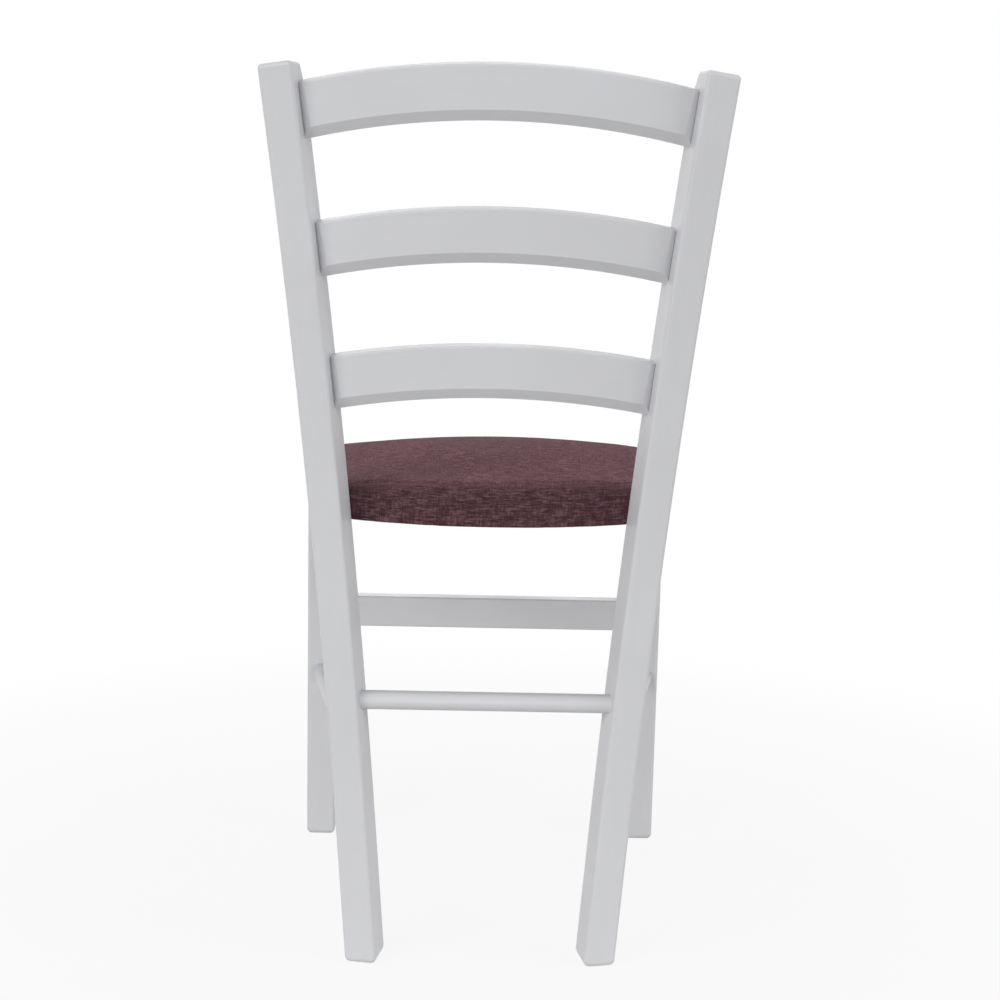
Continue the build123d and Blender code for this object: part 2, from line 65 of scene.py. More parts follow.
# Lacquered pieces, by the axis along which their grain runs
LACQUERED = (
    ("lacquer_upright", "Z", ("rear_post_left", "rear_post_right", "front_leg_left", "front_leg_right")),
    ("lacquer_cross", "X",
     ("top_slat", "middle_slat", "lower_slat", "front_stretcher", "rear_rung", "front_apron")),
    ("lacquer_deep", "Y", ("side_rung_left", "side_rung_right", "side_apron_left", "side_apron_right")),
)
BLOCKS = ("corner_block_left", "corner_block_right", "rear_cleat_left", "rear_cleat_right")
FASTENERS = ("frame_screws", "pad_screws", "staples")

# Shaping of the pad, in metres
MERGE_DISTANCE = 1e-5  # corners of triangles this close are one point
RIM_HEIGHT = 0.009  # lower rim that is squared up to the cover
RIM_REACH = 0.004  # furthest that a cell of the rim is drawn
CORNER_START = 0.07  # from the middle to where the rear fill starts to thin out
CORNER_WIDTH = 0.08  # over which it thins out
CORNER_LOSS = 0.3  # share of the rear fill that is missing at the corners
LIP_WIDTH = 0.05  # firm edge along the rear
HELD_HEIGHT = 0.004  # lower edge that doesn't swell
FRAME_GAP = 0.0003  # between the pad and the frame that carries it
LEAN_HEIGHT = 0.03  # height over which the lean grows to its full size

# Map of the weave, where a slope counts as level up to one value and as steep past the other
WEAVE_MAP = "weave"
LEVEL_SLOPE = 0.25
STEEP_SLOPE = 0.90

# Most of a noise's values lie in this range
NOISE_RANGE = (0.3, 0.7)
ROW_STEP = 7.31  # step in the noise between threads, so that no two are alike

# Soft lights: the setting with the power, the place and the width
LIGHTS = (
    ("key", (2.3, 2.4, 1.5), 2.2),
    ("fill", (-2.9, 1.2, 1.4), 2.0),
    ("rear", (0.2, 3.2, 1.0), 2.0),
    ("front", (0.3, -2.9, 1.1), 2.0),
)
LIGHT_AIM = (0.0, 0.0, 0.5)

# Floor: half its width, and the distances over which it darkens and turns plain white
FLOOR_REACH = 30.0
DARKENING = (0.5, 1.1)
WHITENING = (0.35, 1.2)

# What the camera sees behind the chair, and its sensor in millimetres
WHITE = (1.0, 1.0, 1.0, 1.0)
SENSOR_WIDTH = 36.0


class LacquerSettings(bpy.types.PropertyGroup):
    """Satin lacquer of the wooden frame"""

    colour: FloatVectorProperty(
        name="Colour", description="Lacquer's own colour", subtype="COLOR", size=3, min=0, max=1,
        default=(0.654, 0.659, 0.680))
    shade: FloatVectorProperty(
        name="Shade", description="Colour of the thinner, greyer patches", subtype="COLOR", size=3,
        min=0, max=1, default=(0.624, 0.627, 0.645))
    roughness: FloatProperty(name="Roughness", description="Satin gloss", default=0.44, min=0, max=1)
    grain_depth: FloatProperty(
        name="Grain depth", description="Wood grain that shows through the lacquer", unit="LENGTH",
        default=0.00007)
    peel_depth: FloatProperty(
        name="Peel depth", description="Fine unevenness of the sprayed coat", unit="LENGTH",
        default=0.00002)


class UndersideSettings(bpy.types.PropertyGroup):
    """Raw wood, plywood and steel under the seat"""

    beech: FloatVectorProperty(
        name="Beech", description="Planed wood of blocks and cleats", subtype="COLOR", size=3, min=0, max=1,
        default=(0.56, 0.38, 0.23))
    beech_rings: FloatVectorProperty(
        name="Beech rings", description="Darker growth rings", subtype="COLOR", size=3, min=0, max=1,
        default=(0.42, 0.265, 0.145))
    pores: FloatVectorProperty(
        name="Pores", description="Open pores of the beech", subtype="COLOR", size=3, min=0, max=1,
        default=(0.20, 0.115, 0.058))
    plywood: FloatVectorProperty(
        name="Plywood", description="Face of the seat board", subtype="COLOR", size=3, min=0, max=1,
        default=(0.60, 0.44, 0.28))
    plywood_grain: FloatVectorProperty(
        name="Plywood grain", description="Darker grain of the seat board", subtype="COLOR", size=3,
        min=0, max=1, default=(0.40, 0.27, 0.155))
    glue: FloatVectorProperty(
        name="Glue", description="Glue lines between the plies", subtype="COLOR", size=3, min=0, max=1,
        default=(0.16, 0.09, 0.045))
    zinc: FloatVectorProperty(
        name="Zinc", description="Plating of screws and staples", subtype="COLOR", size=3, min=0, max=1,
        default=(0.58, 0.58, 0.60))
    zinc_stain: FloatVectorProperty(
        name="Zinc stain", description="Duller patches of the plating", subtype="COLOR", size=3,
        min=0, max=1, default=(0.44, 0.43, 0.41))
    ply_pitch: FloatProperty(
        name="Ply pitch", description="Height of two plies, one along and one across", unit="LENGTH",
        default=0.004)
    grain_depth: FloatProperty(
        name="Grain depth", description="Height of the raw wood's fibres", unit="LENGTH", default=0.0002)
    spangle_depth: FloatProperty(
        name="Spangle depth", description="Height of the plating's crystals", unit="LENGTH",
        default=0.00005)


class FabricSettings(bpy.types.PropertyGroup):
    """Woven cover of the seat"""

    ground: FloatVectorProperty(
        name="Ground", description="Plum of most threads", subtype="COLOR", size=3, min=0, max=1,
        default=(0.100, 0.0495, 0.0575))
    dark: FloatVectorProperty(
        name="Dark threads", description="Darkest threads", subtype="COLOR", size=3, min=0, max=1,
        default=(0.056, 0.026, 0.0313))
    light: FloatVectorProperty(
        name="Light threads", description="Slubs that catch the light", subtype="COLOR", size=3,
        min=0, max=1, default=(0.173, 0.0945, 0.111))
    sheen: FloatVectorProperty(
        name="Sheen", description="Colour of the loose fibres' sheen", subtype="COLOR", size=3,
        min=0, max=1, default=(0.56, 0.25, 0.285))
    weft_pitch: FloatProperty(
        name="Weft pitch", description="Step between threads that run across the seat", unit="LENGTH",
        default=0.0012)
    warp_pitch: FloatProperty(
        name="Warp pitch", description="Step between threads that run front to back", unit="LENGTH",
        default=0.0011)
    thread_depth: FloatProperty(
        name="Thread depth", description="Height of the weave", unit="LENGTH", default=0.00028)
    ripple_depth: FloatProperty(
        name="Ripple depth", description="Height of the uneven weft", unit="LENGTH", default=0.0012)
    # Painted sheen: the base colour is made lighter where the surface is seen along it
    painted_sheen: FloatProperty(
        name="Nap", description="How much lighter the fibres look along the surface", default=0.65, min=0)
    sway: FloatProperty(
        name="Sway", description="How far the threads wander", unit="LENGTH", default=0.0018)


class SeatSettings(bpy.types.PropertyGroup):
    """Swelling of the padded seat"""

    voxel: FloatProperty(
        name="Voxel", description="Size of the cloth's cells", unit="LENGTH", default=0.0042)
    girth: FloatProperty(
        name="Girth", description="How far the cover stands out past the pad's drawn sides", unit="LENGTH",
        default=0.0006)
    slack: FloatProperty(
        name="Slack", description="How much lower the pad is before it swells", unit="LENGTH",
        default=0.0036)
    crown_radius: FloatProperty(
        name="Crown radius", description="Curve of the pad's top", unit="LENGTH", default=1.35)
    rear_fill: FloatProperty(
        name="Rear fill", description="Share of the crown's fall that the foam makes up at the rear edge",
        subtype="FACTOR", min=0, max=1, default=0.75)
    rear_radius: FloatProperty(
        name="Rear radius", description="Curve of the pad's rear edge", unit="LENGTH", default=0.345)
    rear_lip: FloatProperty(
        name="Rear lip", description="Rise of the firm foam along the rear edge", unit="LENGTH",
        default=0.0018)
    pressure: FloatProperty(name="Pressure", description="Pressure of the foam on its cover", default=4.0)
    frames: IntProperty(name="Frames", description="Steps of the swelling", default=20, min=1)
    swell_limit: FloatProperty(
        name="Swell limit", description="Furthest that any point of the cover moves", unit="LENGTH",
        default=0.0038)
    lean: FloatProperty(
        name="Lean", description="Slope of the settled crown, which is fuller on the sitter's right",
        default=0.014)
    map_passes: IntProperty(
        name="Map passes", description="How often the weave's direction is evened out", default=12, min=0)


class StageSettings(bpy.types.PropertyGroup):
    """Camera, floor and light"""

    camera_place: FloatVectorProperty(
        name="Camera place", description="Where the camera stands", subtype="XYZ", unit="LENGTH", size=3,
        default=(0.0190, 1.9215, 0.7946))
    pitch: FloatProperty(name="Pitch", description="Downward tilt", subtype="ANGLE", default=0.1789)
    yaw: FloatProperty(name="Yaw", description="Turn from straight ahead", subtype="ANGLE", default=-0.0164)
    roll: FloatProperty(name="Roll", description="Tilt to the side", subtype="ANGLE", default=0.0227)
    focal_length: FloatProperty(
        name="Focal length", description="Of the lens, in millimetres", unit="CAMERA", default=66.78)
    sky: FloatProperty(name="Sky", description="Strength of the even light from all round", default=0.475)
    sky_colour: FloatVectorProperty(
        name="Sky colour", description="Colour of the even light", subtype="COLOR", size=3, min=0, max=1,
        default=(0.985, 0.99, 1.0))
    key: FloatProperty(
        name="Key", description="Power of the light behind the chair's left", unit="POWER", default=48.0)
    fill: FloatProperty(
        name="Fill", description="Power of the light beside the chair's right", unit="POWER", default=33.0)
    rear: FloatProperty(
        name="Rear", description="Power of the light straight behind the chair", unit="POWER", default=17.0)
    front: FloatProperty(
        name="Front", description="Power of the light before the chair", unit="POWER", default=17.0)
    near_floor: FloatVectorProperty(
        name="Near floor", description="Floor under the chair", subtype="COLOR", size=3, min=0, max=1,
        default=(0.72, 0.71, 0.70))
    mottle: FloatVectorProperty(
        name="Mottle", description="Duller patches of the near floor", subtype="COLOR", size=3,
        min=0, max=1, default=(0.69, 0.685, 0.68))
    far_floor: FloatVectorProperty(
        name="Far floor", description="Floor further off, which throws less light up", subtype="COLOR",
        size=3, min=0, max=1, default=(0.22, 0.215, 0.21))
    white_share: FloatProperty(
        name="White share", description="How much the floor under the chair looks plain white",
        subtype="FACTOR", min=0, max=1, default=0.88)


SETTINGS = {
    "chair_lacquer": LacquerSettings,
    "chair_underside": UndersideSettings,
    "chair_fabric": FabricSettings,
    "chair_seat": SeatSettings,
    "chair_stage": StageSettings,
}


class Tree:
    """Short way to add and join the shader nodes of a material or a world."""

    def __init__(self, owner, output="ShaderNodeOutputMaterial"):
        self.owner = owner
        owner.use_nodes = True
        self.nodes = owner.node_tree.nodes
        self.links = owner.node_tree.links
        self.nodes.clear()
        self.output = self.nodes.new(output)

    def feed(self, socket, value):
        """Join an output to a socket, or set the socket."""
        if isinstance(value, bpy.types.NodeSocket):
            self.links.new(value, socket)
        else:
            socket.default_value = value

    def place(self, scale=(1.0, 1.0, 1.0)):
        """The piece's own coordinates, scaled."""
        source = self.nodes.new("ShaderNodeTexCoord")
        mapping = self.nodes.new("ShaderNodeMapping")
        mapping.inputs["Scale"].default_value = scale
        self.links.new(source.outputs["Object"], mapping.inputs["Vector"])
        return mapping.outputs["Vector"]

    def noise(self, vector, scale=1.0, detail=3.0, roughness=0.5, distortion=0.0):
        """Soft random values, most of them near a half."""
        node = self.nodes.new("ShaderNodeTexNoise")
        self.feed(node.inputs["Vector"], vector)
        node.inputs["Scale"].default_value = scale
        node.inputs["Detail"].default_value = detail
        node.inputs["Roughness"].default_value = roughness
        node.inputs["Distortion"].default_value = distortion
        return node.outputs["Fac"]

    def math(self, operation, first, second=0.0):
        """One step of arithmetic."""
        node = self.nodes.new("ShaderNodeMath")
        node.operation = operation
        self.feed(node.inputs[0], first)
        self.feed(node.inputs[1], second)
        return node.outputs[0]

    def plus(self, first, second):
        """Sum of two values."""
        return self.math("ADD", first, second)

    def minus(self, first, second):
        """The first value less the second."""
        return self.math("SUBTRACT", first, second)

    def times(self, first, second):
        """Product of two values."""
        return self.math("MULTIPLY", first, second)

    def choose(self, share, first, second):
        """The first value by its share, and the second for the rest."""
        return self.plus(self.times(share, first), self.times(self.minus(1.0, share), second))

    def weighted(self, *pairs):
        """Sum of noises times their weights, each noise taken from its middle."""
        first, *others = [self.times(self.minus(value, 0.5), weight) for value, weight in pairs]
        total = first
        for term in others:
            total = self.plus(total, term)
        return total

    def span(self, value, low, high, to_low=0.0, to_high=1.0):
        """A range of values, carried over softly to another range."""
        node = self.nodes.new("ShaderNodeMapRange")
        node.interpolation_type = "SMOOTHSTEP"
        self.feed(node.inputs["Value"], value)
        node.inputs["From Min"].default_value = low
        node.inputs["From Max"].default_value = high
        node.inputs["To Min"].default_value = to_low
        node.inputs["To Max"].default_value = to_high
        return node.outputs["Result"]

    def gloss(self, noise, roughness, spread):
        """A roughness that wanders to either side of its middle."""
        return self.span(noise, *NOISE_RANGE, roughness - spread, roughness + spread)

    def mix(self, factor, first, second):
        """A colour between two others."""
        node = self.nodes.new("ShaderNodeMix")
        node.data_type = "RGBA"
        self.feed(node.inputs["Factor"], factor)
        self.feed(node.inputs["A"], first)
        self.feed(node.inputs["B"], second)
        return node.outputs["Result"]

    def scaled(self, vector, factor):
        """A vector or colour times a value."""
        node = self.nodes.new("ShaderNodeVectorMath")
        node.operation = "SCALE"
        self.feed(node.inputs[0], vector)
        self.feed(node.inputs["Scale"], factor)
        return node.outputs["Vector"]

    def length(self, vector):
        """How long a vector is."""
        node = self.nodes.new("ShaderNodeVectorMath")
        node.operation = "LENGTH"
        self.links.new(vector, node.inputs[0])
        return node.outputs["Value"]

    def parts(self, vector):
        """The three parts of a vector."""
        node = self.nodes.new("ShaderNodeSeparateXYZ")
        self.links.new(vector, node.inputs[0])
        return node.outputs

    def point(self, *parts):
        """A vector from its three parts."""
        node = self.nodes.new("ShaderNodeCombineXYZ")
        for socket, value in zip(node.inputs, parts):
            self.feed(socket, value)
        return node.outputs[0]

    def bump(self, height, distance, under=None):
        """Normal of a surface that is raised by a height, over another bump where one is given."""
        node = self.nodes.new("ShaderNodeBump")
        self.links.new(height, node.inputs["Height"])
        node.inputs["Distance"].default_value = distance
        node.inputs["Strength"].default_value = 1.0
        if under is not None:
            self.links.new(under, node.inputs["Normal"])
        return node.outputs["Normal"]

    def finish(self, **inputs):
        """The surface itself, from its named inputs."""
        shader = self.nodes.new("ShaderNodeBsdfPrincipled")
        for name, value in inputs.items():
            self.feed(shader.inputs[name.replace("_", " ")], value)
        self.links.new(shader.outputs[0], self.output.inputs["Surface"])
        return self.owner


def material_tree(name):
    """Empty node tree of a new material."""
    return Tree(bpy.data.materials.new(name))


def solid(colour):
    """A colour as a shader socket takes it."""
    return (*colour, 1.0)


def drawn_out(axis, along, across):
    """Scale of a pattern that is drawn out along one axis, in waves per metre."""
    return tuple(along if letter == axis else across for letter in "XYZ")


def lacquer_material(settings, name, axis):
    """Satin white lacquer, with the grain under it drawn out along the piece."""
    tree = material_tree(name)
    level = tree.place()
    grain = tree.noise(tree.place(drawn_out(axis, along=7.0, across=170.0)), detail=5.0, roughness=0.62)
    cloud = tree.noise(level, scale=7.0)
    peel = tree.noise(level, scale=650.0, detail=2.0)
    thin = tree.span(tree.plus(tree.times(grain, 0.45), cloud), 0.45, 1.0)
    colour = tree.mix(thin, solid(settings.colour), solid(settings.shade))
    ribs = tree.bump(grain, settings.grain_depth)
    return tree.finish(Base_Color=colour, Roughness=tree.gloss(cloud, settings.roughness, spread=0.05),
                       Normal=tree.bump(peel, settings.peel_depth, under=ribs), IOR=1.47,
                       Coat_Weight=0.12, Coat_Roughness=0.3)


def beech_material(settings, name):
    """Planed, unfinished beech with fine pores."""
    tree = material_tree(name)
    along = tree.place(drawn_out("X", along=30.0, across=220.0))
    rings = tree.noise(along, scale=0.35, roughness=0.55, distortion=1.2)
    fibres = tree.noise(along, scale=2.6, detail=6.0, roughness=0.7)
    tone = tree.span(tree.plus(rings, tree.times(fibres, 0.5)), 0.5, 1.0)
    colour = tree.mix(tone, solid(settings.beech), solid(settings.beech_rings))
    pores = tree.times(tree.span(fibres, 0.56, 0.72), 0.35)
    colour = tree.mix(pores, colour, solid(settings.pores))
    return tree.finish(Base_Color=colour, Roughness=tree.gloss(fibres, roughness=0.6, spread=0.08),
                       Normal=tree.bump(fibres, settings.grain_depth))


def plywood_material(settings, name):
    """Sanded plywood: a plain face, and plies that show on its edges."""
    tree = material_tree(name)
    height = tree.parts(tree.place())["Z"]
    ply = tree.math("FRACT", tree.math("DIVIDE", height, settings.ply_pitch))
    turned = tree.math("GREATER_THAN", ply, 0.5)
    long_grain, cross_grain = (
        tree.noise(tree.place(drawn_out(axis, along=6.0, across=90.0)),
                   detail=5.0, roughness=0.65, distortion=0.6)
        for axis in "XY")
    grain = tree.choose(turned, long_grain, cross_grain)
    colour = tree.mix(tree.span(grain, 0.3, 0.75), solid(settings.plywood), solid(settings.plywood_grain))
    line = tree.span(tree.math("ABSOLUTE", tree.minus(ply, 0.5)), 0.42, 0.5)
    colour = tree.mix(tree.times(line, 0.4), colour, solid(settings.glue))
    return tree.finish(Base_Color=colour, Roughness=tree.gloss(grain, roughness=0.65, spread=0.07),
                       Normal=tree.bump(grain, settings.grain_depth))


def zinc_material(settings, name):
    """Zinc-plated steel with fine crystals and duller patches."""
    tree = material_tree(name)
    place = tree.place()
    spangle = tree.noise(place, scale=900.0, roughness=0.6)
    stain = tree.noise(place, scale=160.0, detail=2.0)
    colour = tree.mix(tree.span(stain, 0.35, 0.7), solid(settings.zinc), solid(settings.zinc_stain))
    return tree.finish(Base_Color=colour, Metallic=1.0,
                       Roughness=tree.gloss(spangle, roughness=0.37, spread=0.09),
                       Normal=tree.bump(spangle, settings.spangle_depth))


def row_noise(tree, along, rate, row, seed):
    """Noise drawn out along each thread, with another start in every row."""
    spot = tree.point(tree.times(along, rate), tree.times(row, ROW_STEP), seed)
    return tree.noise(spot, detail=2.0, roughness=0.6)


def streaks(tree, across, across_rate, down, down_rate, seed, detail):
    """Streaks over many threads, drawn out the way that has fewer waves per metre."""
    spot = tree.point(tree.times(across, across_rate), tree.times(down, down_rate), seed)
    return tree.noise(spot, detail=detail, roughness=0.68)


def round_thread(tree, place):
    """Height of a thread across its width."""
    middle = tree.minus(tree.math("FRACT", place), 0.5)
    return tree.minus(1.0, tree.times(tree.times(middle, middle), 4.0))


def fabric_material(settings, name):
    """Plum cloth of slubbed threads, on the cover's own map in metres."""
    tree = material_tree(name)
    cloth = tree.nodes.new("ShaderNodeUVMap")
    cloth.uv_map = WEAVE_MAP
    place = cloth.outputs["UV"]
    across, down, _ = tree.parts(place)

    # Threads that pass over and under each other
    sway = tree.times(tree.minus(tree.noise(place, scale=60.0, detail=2.0), 0.5), settings.sway)
    weft_place = tree.math("DIVIDE", tree.plus(down, sway), settings.weft_pitch)
    warp_place = tree.math("DIVIDE", tree.plus(across, sway), settings.warp_pitch)
    weft_row = tree.math("FLOOR", weft_place)
    warp_row = tree.math("FLOOR", warp_place)
    weft = round_thread(tree, weft_place)
    warp = round_thread(tree, warp_place)
    checks = tree.math("PINGPONG", tree.plus(weft_row, warp_row), 1.0)
    over = tree.choose(checks, weft, warp)
    height = tree.plus(tree.times(over, 0.7), tree.times(weft, 0.3))

    # Tone of each thread, and of patches of them
    slub = row_noise(tree, across, 85.0, weft_row, seed=0.0)
    fleck = row_noise(tree, across, 620.0, weft_row, seed=5.0)
    strand = row_noise(tree, down, 90.0, warp_row, seed=11.0)
    drift = streaks(tree, across, 75.0, down, 480.0, seed=3.0, detail=2.0)
    ripple = streaks(tree, across, 70.0, down, 140.0, seed=8.0, detail=1.0)
    cloud = tree.noise(place, scale=14.0, detail=2.0, roughness=0.55)
    tone = tree.weighted((slub, 1.2), (drift, 1.1), (ripple, 0.3),
                         (fleck, 0.7), (strand, 0.9), (cloud, 0.08))

    # Painted shade in the gaps between the threads, and a painted sheen that lightens the colour along the
    # surface
    colour = tree.mix(tree.span(tone, -0.26, 0.02), solid(settings.dark), solid(settings.ground))
    colour = tree.mix(tree.span(tone, 0.0, 0.30), colour, solid(settings.light))
    # Painted shade: the colour is darker low down between the threads
    gap_shade = tree.span(height, 0.1, 0.55, 0.5, 1.0)
    # Painted sheen: the base colour is lighter where the surface is seen along it
    grazing = tree.nodes.new("ShaderNodeLayerWeight").outputs["Facing"]
    painted_sheen = tree.plus(tree.times(grazing, settings.painted_sheen), 1.0)
    colour = tree.scaled(colour, tree.times(gap_shade, painted_sheen))

    raised = tree.plus(height, tree.times(slub, 0.6))
    normal = tree.bump(raised, settings.thread_depth, under=tree.bump(ripple, settings.ripple_depth))
    return tree.finish(Base_Color=colour, Roughness=tree.span(tone, -0.2, 0.2, 0.95, 0.82), Normal=normal,
                       Specular_IOR_Level=0.05, Sheen_Weight=0.2, Sheen_Roughness=0.45,
                       Sheen_Tint=solid(settings.sheen))


def dress(names, material):
    """Give CAD nodes a finish."""
    for name in names:
        node = nodes[name]
        if not node.material_slots:
            node.data.materials.append(material)
        for place in node.material_slots:
            place.material = material


class CHAIR_OT_lacquer_frame(bpy.types.Operator):
    """Lacquer the posts, slats, legs, rungs and aprons"""

    bl_idname = "chair.lacquer_frame"
    bl_label = "Lacquer the frame"

    def execute(self, context):
        for name, axis, pieces in LACQUERED:
            dress(pieces, lacquer_material(context.scene.chair_lacquer, name, axis))
        return {"FINISHED"}


class CHAIR_OT_finish_underside(bpy.types.Operator):
    """Finish the raw blocks, the seat board and the fasteners under the seat"""

    bl_idname = "chair.finish_underside"
    bl_label = "Finish the underside"

    def execute(self, context):
        settings = context.scene.chair_underside
        dress(BLOCKS, beech_material(settings, "raw_beech"))
        dress(("seat_board",), plywood_material(settings, "seat_plywood"))
        dress(FASTENERS, zinc_material(settings, "zinc_steel"))
        return {"FINISHED"}


def ease(share):
    """A share from 0 to 1, with a soft start and end."""
    share = min(max(share, 0.0), 1.0)
    return share * share * (3 - 2 * share)


def new_piece(name, mesh):
    """A mesh as a new object of the scene."""
    piece = bpy.data.objects.new(name, mesh)
    bpy.context.scene.collection.objects.link(piece)
    return piece


def evaluated_mesh(piece):
    """The piece's mesh with its modifiers applied."""
    depsgraph = bpy.context.evaluated_depsgraph_get()
    return bpy.data.meshes.new_from_object(piece.evaluated_get(depsgraph))


def pad_blank(girth):
    """Closed form of the pad, taken round the cover."""
    form = bmesh.new()
    form.from_mesh(nodes["seat_cover"].data)
    bmesh.ops.remove_doubles(form, verts=form.verts, dist=MERGE_DISTANCE)
    hull = bmesh.ops.convex_hull(form, input=form.verts, use_existing_faces=False)
    spare = hull["geom_interior"] + hull["geom_unused"]
    inner = {item for item in spare if isinstance(item, bmesh.types.BMVert)}
    bmesh.ops.delete(form, geom=list(inner), context="VERTS")
    outer = set(hull["geom"])
    loose = [face for face in form.faces if face not in outer]
    bmesh.ops.delete(form, geom=loose, context="FACES")
    factor = Vector((1 + 2 * girth / pad_size.x, 1 + 2 * girth / pad_size.y, 1.0))
    bmesh.ops.scale(form, vec=factor, space=Matrix.Translation(-pad_middle), verts=form.verts)
    bmesh.ops.recalc_face_normals(form, faces=form.faces)
    mesh = bpy.data.meshes.new("pad_blank")
    form.to_mesh(mesh)
    form.free()
    return mesh


def square_rim(mesh):
    """Draw the cells of the lower rim back out to the cover, which they round off."""
    cover = BVHTree.FromObject(nodes["seat_cover"], bpy.context.evaluated_depsgraph_get())
    for vertex in mesh.vertices:
        place = vertex.co
        if place.z < pad_floor + RIM_HEIGHT:
            nearest = cover.find_nearest(place)[0]
            if (nearest - place).length < RIM_REACH:
                vertex.co = nearest
    mesh.update()


def fill_rear(mesh, settings):
    """Raise the rear of the pad, where the foam is nearly as high as the crown, and take the slack off."""
    for vertex in mesh.vertices:
        place = vertex.co
        out = place - pad_middle
        fall = (out.x ** 2 + out.y ** 2) / (2 * settings.crown_radius)
        height = pad_size.z - fall
        corner = ease((abs(out.x) - CORNER_START) / CORNER_WIDTH)
        behind = ease(out.y / (pad_size.y / 2)) * (1 - CORNER_LOSS * corner)
        ahead = pad_size.y / 2 - out.x ** 2 / (2 * settings.rear_radius) - out.y
        lip = settings.rear_lip * ease(1 - ahead / LIP_WIDTH)
        gain = (height + fall * settings.rear_fill * behind + lip) / height
        place.z = pad_floor + (place.z - pad_floor) * gain * (1 - settings.slack / pad_size.z)
    mesh.update()


def pad_cells(settings):
    """The blank as even cells of cloth, squared at its rim and filled at its rear."""
    blank = new_piece("pad_blank", pad_blank(settings.girth))
    remesh = blank.modifiers.new("cells", "REMESH")
    remesh.mode = "VOXEL"
    remesh.voxel_size = settings.voxel
    mesh = evaluated_mesh(blank)
    bpy.data.objects.remove(blank)
    square_rim(mesh)
    fill_rear(mesh, settings)
    return mesh


def add_cloth(piece, settings):
    """Make the piece a cover that the foam presses out, held along its lower edge."""
    vertices = piece.data.vertices
    low = min(vertex.co.z for vertex in vertices)
    held = piece.vertex_groups.new(name="held")
    held.add([vertex.index for vertex in vertices if vertex.co.z < low + HELD_HEIGHT], 1.0, "REPLACE")
    cloth = piece.modifiers.new("swelling", "CLOTH")
    cloth.settings.quality = 6
    cloth.settings.mass = 0.35
    cloth.settings.tension_stiffness = 18.0
    cloth.settings.compression_stiffness = 18.0
    cloth.settings.shear_stiffness = 8.0
    cloth.settings.bending_stiffness = 0.6
    cloth.settings.use_pressure = True
    cloth.settings.uniform_pressure_force = settings.pressure
    cloth.settings.vertex_group_mass = "held"
    cloth.settings.effector_weights.gravity = 0.0
    cloth.collision_settings.use_self_collision = False
    cloth.point_cache.frame_start = 1
    cloth.point_cache.frame_end = settings.frames


def swell(piece, settings):
    """Swell the cover under the foam's pressure, straight out and by no more than its limit."""
    start = [vertex.co.copy() for vertex in piece.data.vertices]
    outward = [vertex.normal.copy() for vertex in piece.data.vertices]
    add_cloth(piece, settings)
    scene = bpy.context.scene
    for step in range(1, settings.frames + 1):
        scene.frame_set(step)
    swollen = evaluated_mesh(piece)
    if len(swollen.vertices) != len(start):
        raise RuntimeError("the swelling changed the pad's points")
    limit = settings.swell_limit
    for vertex, place, normal in zip(swollen.vertices, start, outward):
        rise = max((vertex.co - place).dot(normal), 0.0)
        vertex.co = place + normal * limit * math.tanh(rise / limit)
    piece.modifiers.clear()
    piece.vertex_groups.clear()
    piece.data = swollen
    scene.frame_set(1)


def settle(piece, lean):
    """Rest the pad on the frame and let its crown settle to one side."""
    rest = frame_top + FRAME_GAP
    low = min(vertex.co.z for vertex in piece.data.vertices)
    for vertex in piece.data.vertices:
        place = vertex.co
        place.z += rest - low
        share = min(max((place.z - rest) / LEAN_HEIGHT, 0.0), 1.0)
        place.z -= lean * place.x * share


def smooth_normals(mesh, passes):
    """Vertex normals, evened out over their neighbours so that the weave runs straight."""
    normals = [vertex.normal.copy() for vertex in mesh.vertices]
    pairs = [tuple(edge.vertices) for edge in mesh.edges]
    for _ in range(passes):
        sums = [normal.copy() for normal in normals]
        for first, second in pairs:
            sums[first] += normals[second]
            sums[second] += normals[first]
        normals = [total.normalized() for total in sums]
    return normals


def map_weave(piece, passes):
    """Map in metres: level on the top, carried straight down each side, and mitred at the corners."""
    mesh = piece.data
    normals = smooth_normals(mesh, passes)
    layer = mesh.uv_layers.new(name=WEAVE_MAP)
    crown = max(vertex.co.z for vertex in mesh.vertices)
    for face in mesh.polygons:
        facing = sum((normals[index] for index in face.vertices), Vector())
        axis = 0 if abs(facing.x) > abs(facing.y) else 1
        edge = pad_middle[axis] + math.copysign(pad_size[axis] / 2, facing[axis])
        for loop in face.loop_indices:
            index = mesh.loops[loop].vertex_index
            place, normal = mesh.vertices[index].co, normals[index]
            slope = math.hypot(normal.x, normal.y)
            steep = ease((slope - LEVEL_SLOPE) / (STEEP_SLOPE - LEVEL_SLOPE))
            run = (crown - place.z) * (1.0 if normal.z < 0 else steep)
            spot = [place.x, place.y]
            spot[axis] += (edge - spot[axis]) * steep + math.copysign(run, facing[axis])
            layer.data[loop].uv = spot


class CHAIR_OT_make_seat(bpy.types.Operator):
    """Make the padded seat and its woven cover"""

    bl_idname = "chair.make_seat"
    bl_label = "Make the seat"

    def execute(self, context):
        settings = context.scene.chair_seat
        piece = new_piece("seat_cushion", pad_cells(settings))
        swell(piece, settings)
        settle(piece, settings.lean)
        map_weave(piece, settings.map_passes)
        piece.data.shade_smooth()
        piece.data.materials.clear()
        piece.data.materials.append(fabric_material(context.scene.chair_fabric, "plum_weave"))
        smooth = piece.modifiers.new("smooth", "SUBSURF")
        smooth.levels = 1
        smooth.render_levels = 1
        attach(piece, "root")
        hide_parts("seat_cover", "seat_foam")
        return {"FINISHED"}


